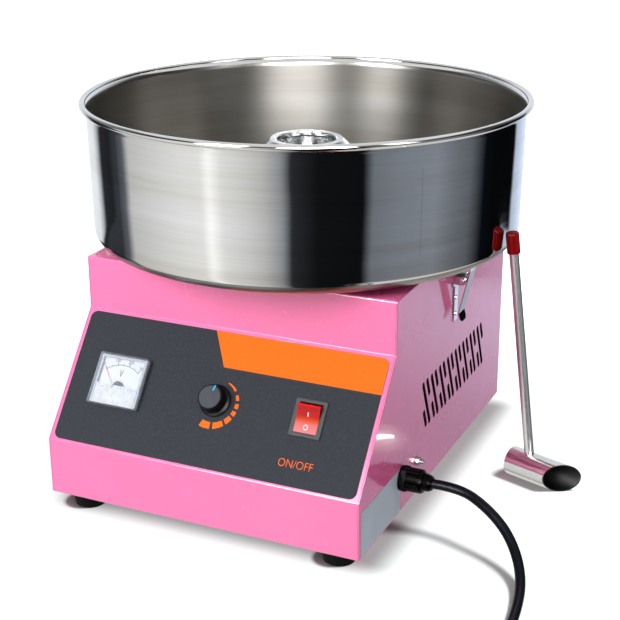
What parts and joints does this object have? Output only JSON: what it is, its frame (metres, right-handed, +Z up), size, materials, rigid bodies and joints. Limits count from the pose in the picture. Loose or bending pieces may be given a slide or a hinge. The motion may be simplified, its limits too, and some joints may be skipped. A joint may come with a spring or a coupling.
{
  "type": "cotton candy machine",
  "caption": "Electric table-top cotton candy machine: steel bowl round a spinner head, on a painted housing with a sloping control panel; a sugar scoop leans on the bowl.",
  "frame": {"origin": "middle of the machine's box at table level, without the cord", "axes": "+X to the machine's right, +Y to its back, +Z up"},
  "size_m": [0.7665, 0.7551, 0.436],
  "materials": {
    "pink_paint": "glossy powder coat",
    "zinc_sheet": "galvanised",
    "black_rubber": "matt",
    "steel_hardware": "zinc plated",
    "overlay_film": "fine matt grain",
    "plate_film": "bare satin foil",
    "meter_shell": "moulded",
    "meter_dial": "white print",
    "clear_plastic": "clear moulding",
    "red_needle": "red",
    "pot_metal": "satin",
    "knob_black": "semi-gloss",
    "knob_grey": "satin",
    "switch_black": "semi-gloss",
    "rocker_red": "translucent red",
    "gland_black": "nylon",
    "bowl_steel": "polished stainless",
    "latch_chrome": "bright plate",
    "head_steel": "satin stainless",
    "element": "oxidised sheath",
    "shaft_steel": "ground",
    "ring_brass": "bright",
    "motor_core": "varnished",
    "motor_alloy": "die cast",
    "fan_plastic": "moulded",
    "collar_alloy": "spun",
    "holder_plastic": "phenolic",
    "carbon": "carbon",
    "board": "circuit board",
    "scoop_chrome": "polished stainless",
    "grip_red": "soft vinyl",
    "cord_black": "semi-matt sheath"
  },
  "bodies": {
    "root": {"front_panel": "pink_paint", "right_side_panel": "pink_paint", "left_side_panel": "pink_paint", "rear_panel": "pink_paint", "top_cover": "pink_paint", "base_plate": "zinc_sheet", "motor_bracket": "zinc_sheet", "rubber_feet": "black_rubber", "bowl_seat_ring": "black_rubber", "motor_dampers": "black_rubber", "housing_screws": "steel_hardware", "earth_stud": "steel_hardware", "earth_fasteners": "steel_hardware", "motor_bearings": "steel_hardware", "latch_pins": "steel_hardware", "latch_springs": "steel_hardware", "control_overlay": "overlay_film", "rating_plate": "plate_film", "voltmeter_case": "meter_shell", "voltmeter_dial": "meter_dial", "voltmeter_window": "clear_plastic", "potentiometer": "pot_metal", "switch_body": "switch_black", "cable_gland_body": "gland_black", "cable_gland_nut": "gland_black", "latch_bases": "latch_chrome", "plug_pins": "ring_brass", "motor_stator": "motor_core", "motor_end_bells": "motor_alloy", "centre_collar": "collar_alloy", "brush_holder": "holder_plastic", "carbon_brushes": "carbon", "control_board": "board", "power_cord": "cord_black", "cord_coil": "cord_black", "cord_tail": "cord_black", "plug": "cord_black"},
    "spinner": {"head_cap": "head_steel", "heater_band": "head_steel", "head_base": "head_steel", "sugar_cup": "head_steel", "heating_element": "element", "head_fasteners": "steel_hardware", "spindle": "shaft_steel", "slip_rings": "ring_brass", "motor_rotor": "motor_core", "cooling_fan": "fan_plastic"},
    "bowl_body": {"bowl_floor": "bowl_steel", "bowl_wall": "bowl_steel", "bowl_catches": "bowl_steel"},
    "knob": {"temperature_knob": "knob_black", "knob_cap": "knob_grey", "potentiometer_shaft": "pot_metal"},
    "rocker": {"switch_rocker": "rocker_red"},
    "needle": {"voltmeter_needle": "red_needle"},
    "lever_right": {"latch_lever_right": "latch_chrome"},
    "lever_left": {"latch_lever_left": "latch_chrome"},
    "scoop": {"scoop_tube": "scoop_chrome", "scoop_rod": "scoop_chrome", "scoop_grip": "grip_red"}
  },
  "joints": [
    {"name": "spinner_spin", "type": "hinge", "parent": "root", "child": "spinner", "pos_m": [-0.04452, 0.012, 0.33], "axis": [0, 0, 1], "continuous": true},
    {"name": "bowl_lift", "type": "slide", "parent": "root", "child": "bowl_body", "axis": [0, 0, 1], "range_m": [0, 0.15]},
    {"name": "knob_turn", "type": "hinge", "parent": "root", "child": "knob", "pos_m": [-0.04452, -0.22764, 0.14757], "axis": [0, 0.787, -0.617], "range_deg": [0, 190]},
    {"name": "rocker_press", "type": "hinge", "parent": "root", "child": "rocker", "pos_m": [0.06598, -0.22407, 0.14401], "axis": [-1, 0, 0], "range_deg": [0, 22]},
    {"name": "needle_swing", "type": "hinge", "parent": "root", "child": "needle", "pos_m": [-0.16452, -0.23659, 0.13615], "axis": [0, 0.787, -0.617], "range_deg": [0, 72]},
    {"name": "latch_right", "type": "hinge", "parent": "root", "child": "lever_right", "pos_m": [0.15448, 0.012, 0.238], "axis": [0, 1, 0], "range_deg": [-7, 5], "stiffness_Nm_per_rad": 0.3},
    {"name": "latch_left", "type": "hinge", "parent": "root", "child": "lever_left", "pos_m": [-0.24352, 0.012, 0.238], "axis": [0, -1, 0], "range_deg": [-7, 5], "stiffness_Nm_per_rad": 0.3},
    {"name": "scoop_away", "type": "slide", "parent": "root", "child": "scoop", "axis": [1, 0, 0], "range_m": [0, 0.15]}
  ]
}
